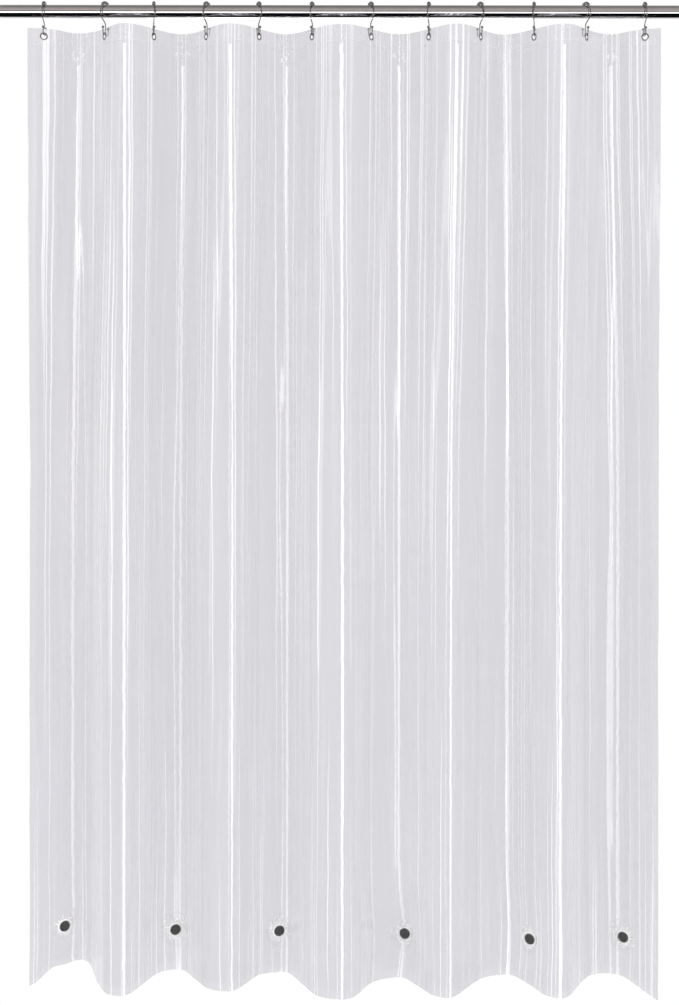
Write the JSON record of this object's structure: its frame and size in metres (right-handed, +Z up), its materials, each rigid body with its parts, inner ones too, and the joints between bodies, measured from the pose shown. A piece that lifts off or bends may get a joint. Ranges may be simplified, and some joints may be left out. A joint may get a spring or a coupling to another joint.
{
  "type": "shower curtain",
  "caption": "Clear film shower curtain in deep folds, hung on a tube rod by roller hooks through grommets, with weight magnets above the hem.",
  "frame": {"origin": "on the rod's axis, at the middle of its length", "axes": "+X along the rod to the right as seen from the front, +Y from the front to the back, +Z up"},
  "size_m": [1.306, 0.1206, 1.883],
  "materials": {
    "rod_chrome": "polished",
    "hook_chrome": "polished",
    "grommet_metal": "polished",
    "clear_film": "clear gloss",
    "magnet_grey": "matt dark grey"
  },
  "bodies": {
    "rod": {"rod": "rod_chrome"},
    "rollers_01": {"rollers_01": "hook_chrome"},
    "hook_01": {"hook_01": "hook_chrome"},
    "panel_01": {"film_panel_01": "clear_film", "grommet_01": "grommet_metal", "magnet_01": "magnet_grey"},
    "panel_02": {"film_panel_02": "clear_film", "grommet_02": "grommet_metal"},
    "hook_02": {"hook_02": "hook_chrome", "rollers_02": "hook_chrome"},
    "panel_03": {"film_panel_03": "clear_film", "grommet_03": "grommet_metal", "magnet_02": "magnet_grey"},
    "hook_03": {"hook_03": "hook_chrome", "rollers_03": "hook_chrome"},
    "panel_04": {"film_panel_04": "clear_film", "grommet_04": "grommet_metal"},
    "hook_04": {"hook_04": "hook_chrome", "rollers_04": "hook_chrome"},
    "panel_05": {"film_panel_05": "clear_film", "grommet_05": "grommet_metal", "magnet_03": "magnet_grey"},
    "hook_05": {"hook_05": "hook_chrome", "rollers_05": "hook_chrome"},
    "panel_06": {"film_panel_06": "clear_film", "grommet_06": "grommet_metal"},
    "hook_06": {"hook_06": "hook_chrome", "rollers_06": "hook_chrome"},
    "panel_07": {"film_panel_07": "clear_film", "grommet_07": "grommet_metal"},
    "hook_07": {"hook_07": "hook_chrome", "rollers_07": "hook_chrome"},
    "panel_08": {"film_panel_08": "clear_film", "grommet_08": "grommet_metal", "magnet_04": "magnet_grey"},
    "hook_08": {"hook_08": "hook_chrome", "rollers_08": "hook_chrome"},
    "panel_09": {"film_panel_09": "clear_film", "grommet_09": "grommet_metal"},
    "hook_09": {"hook_09": "hook_chrome", "rollers_09": "hook_chrome"},
    "panel_10": {"film_panel_10": "clear_film", "grommet_10": "grommet_metal", "magnet_05": "magnet_grey"},
    "hook_10": {"hook_10": "hook_chrome", "rollers_10": "hook_chrome"},
    "panel_11": {"film_panel_11": "clear_film", "grommet_11": "grommet_metal"},
    "hook_11": {"hook_11": "hook_chrome", "rollers_11": "hook_chrome"},
    "panel_12": {"film_panel_12": "clear_film", "grommet_12": "grommet_metal", "magnet_06": "magnet_grey"},
    "hook_12": {"hook_12": "hook_chrome", "rollers_12": "hook_chrome"}
  },
  "joints": [
    {"name": "curtain_glide", "type": "slide", "parent": "rod", "child": "rollers_01", "axis": [1, 0, 0], "range_m": [-0.07, 0.05]},
    {"name": "curtain_swing", "type": "hinge", "parent": "rollers_01", "child": "hook_01", "pos_m": [-0.5675, 0, -0.0064], "axis": [1, 0, 0], "range_deg": [-10, 10]},
    {"name": "gather_01", "type": "hinge", "parent": "hook_01", "child": "panel_01", "pos_m": [-0.5675, -0.006, -0.0486], "axis": [0, 0, 1], "range_deg": [0, 21]},
    {"name": "gather_02", "type": "hinge", "parent": "panel_01", "child": "panel_02", "pos_m": [-0.5095, 0.04566, -0.0341], "axis": [0, 0, 1], "range_deg": [-42, 0]},
    {"name": "gather_03", "type": "hinge", "parent": "panel_02", "child": "panel_03", "pos_m": [-0.404, -0.06719, -0.0341], "axis": [0, 0, 1], "range_deg": [0, 42]},
    {"name": "gather_04", "type": "hinge", "parent": "panel_03", "child": "panel_04", "pos_m": [-0.3065, 0.05316, -0.0341], "axis": [0, 0, 1], "range_deg": [-42, 0]},
    {"name": "gather_05", "type": "hinge", "parent": "panel_04", "child": "panel_05", "pos_m": [-0.2055, -0.06431, -0.0341], "axis": [0, 0, 1], "range_deg": [0, 42]},
    {"name": "gather_06", "type": "hinge", "parent": "panel_05", "child": "panel_06", "pos_m": [-0.104, 0.05274, -0.0341], "axis": [0, 0, 1], "range_deg": [-42, 0]},
    {"name": "gather_07", "type": "hinge", "parent": "panel_06", "child": "panel_07", "pos_m": [0.0035, -0.0587, -0.0341], "axis": [0, 0, 1], "range_deg": [0, 42]},
    {"name": "gather_08", "type": "hinge", "parent": "panel_07", "child": "panel_08", "pos_m": [0.1155, 0.04868, -0.0341], "axis": [0, 0, 1], "range_deg": [-42, 0]},
    {"name": "gather_09", "type": "hinge", "parent": "panel_08", "child": "panel_09", "pos_m": [0.2205, -0.06516, -0.0341], "axis": [0, 0, 1], "range_deg": [0, 42]},
    {"name": "gather_10", "type": "hinge", "parent": "panel_09", "child": "panel_10", "pos_m": [0.3215, 0.05231, -0.0341], "axis": [0, 0, 1], "range_deg": [-42, 0]},
    {"name": "gather_11", "type": "hinge", "parent": "panel_10", "child": "panel_11", "pos_m": [0.423, -0.06474, -0.0341], "axis": [0, 0, 1], "range_deg": [0, 42]},
    {"name": "gather_12", "type": "hinge", "parent": "panel_11", "child": "panel_12", "pos_m": [0.5295, 0.0477, -0.0341], "axis": [0, 0, 1], "range_deg": [-42, 0]},
    {"name": "hook_turn_02", "type": "hinge", "parent": "panel_02", "child": "hook_02", "pos_m": [-0.4515, -0.006, -0.0486], "axis": [0, 0, 1], "range_deg": [0, 9.01]},
    {"name": "hook_turn_03", "type": "hinge", "parent": "panel_03", "child": "hook_03", "pos_m": [-0.3565, -0.006, -0.0486], "axis": [0, 0, 1], "range_deg": [-3.01, 0]},
    {"name": "hook_turn_04", "type": "hinge", "parent": "panel_04", "child": "hook_04", "pos_m": [-0.2565, -0.006, -0.0486], "axis": [0, 0, 1], "range_deg": [0, 9.01]},
    {"name": "hook_turn_05", "type": "hinge", "parent": "panel_05", "child": "hook_05", "pos_m": [-0.1545, -0.006, -0.0486], "axis": [0, 0, 1], "range_deg": [-9.01, 0]},
    {"name": "hook_turn_06", "type": "hinge", "parent": "panel_06", "child": "hook_06", "pos_m": [-0.0535, -0.006, -0.0486], "axis": [0, 0, 1], "range_deg": [0, 3.01]},
    {"name": "hook_turn_07", "type": "hinge", "parent": "panel_07", "child": "hook_07", "pos_m": [0.0605, -0.006, -0.0486], "axis": [0, 0, 1], "range_deg": [-9.01, 0]},
    {"name": "hook_turn_08", "type": "hinge", "parent": "panel_08", "child": "hook_08", "pos_m": [0.1705, -0.006, -0.0486], "axis": [0, 0, 1], "range_deg": [0, 3.01]},
    {"name": "hook_turn_09", "type": "hinge", "parent": "panel_09", "child": "hook_09", "pos_m": [0.2705, -0.006, -0.0486], "axis": [0, 0, 1], "range_deg": [-9.01, 0]},
    {"name": "hook_turn_10", "type": "hinge", "parent": "panel_10", "child": "hook_10", "pos_m": [0.3725, -0.006, -0.0486], "axis": [0, 0, 1], "range_deg": [0, 3.01]},
    {"name": "hook_turn_11", "type": "hinge", "parent": "panel_11", "child": "hook_11", "pos_m": [0.4735, -0.006, -0.0486], "axis": [0, 0, 1], "range_deg": [-9.01, 0]},
    {"name": "hook_turn_12", "type": "hinge", "parent": "panel_12", "child": "hook_12", "pos_m": [0.5855, -0.006, -0.0486], "axis": [0, 0, 1], "range_deg": [0, 11.01]}
  ],
  "couplings": [
    {"joint": "gather_02", "follows": "gather_01", "ratio": -2},
    {"joint": "gather_03", "follows": "gather_01", "ratio": 2},
    {"joint": "gather_04", "follows": "gather_01", "ratio": -2},
    {"joint": "gather_05", "follows": "gather_01", "ratio": 2},
    {"joint": "gather_06", "follows": "gather_01", "ratio": -2},
    {"joint": "gather_07", "follows": "gather_01", "ratio": 2},
    {"joint": "gather_08", "follows": "gather_01", "ratio": -2},
    {"joint": "gather_09", "follows": "gather_01", "ratio": 2},
    {"joint": "gather_10", "follows": "gather_01", "ratio": -2},
    {"joint": "gather_11", "follows": "gather_01", "ratio": 2},
    {"joint": "gather_12", "follows": "gather_01", "ratio": -2},
    {"joint": "hook_turn_02", "follows": "gather_01", "ratio": 0.42857},
    {"joint": "hook_turn_03", "follows": "gather_01", "ratio": -0.14286},
    {"joint": "hook_turn_04", "follows": "gather_01", "ratio": 0.42857},
    {"joint": "hook_turn_05", "follows": "gather_01", "ratio": -0.42857},
    {"joint": "hook_turn_06", "follows": "gather_01", "ratio": 0.14286},
    {"joint": "hook_turn_07", "follows": "gather_01", "ratio": -0.42857},
    {"joint": "hook_turn_08", "follows": "gather_01", "ratio": 0.14286},
    {"joint": "hook_turn_09", "follows": "gather_01", "ratio": -0.42857},
    {"joint": "hook_turn_10", "follows": "gather_01", "ratio": 0.14286},
    {"joint": "hook_turn_11", "follows": "gather_01", "ratio": -0.42857},
    {"joint": "hook_turn_12", "follows": "gather_01", "ratio": 0.52381}
  ]
}
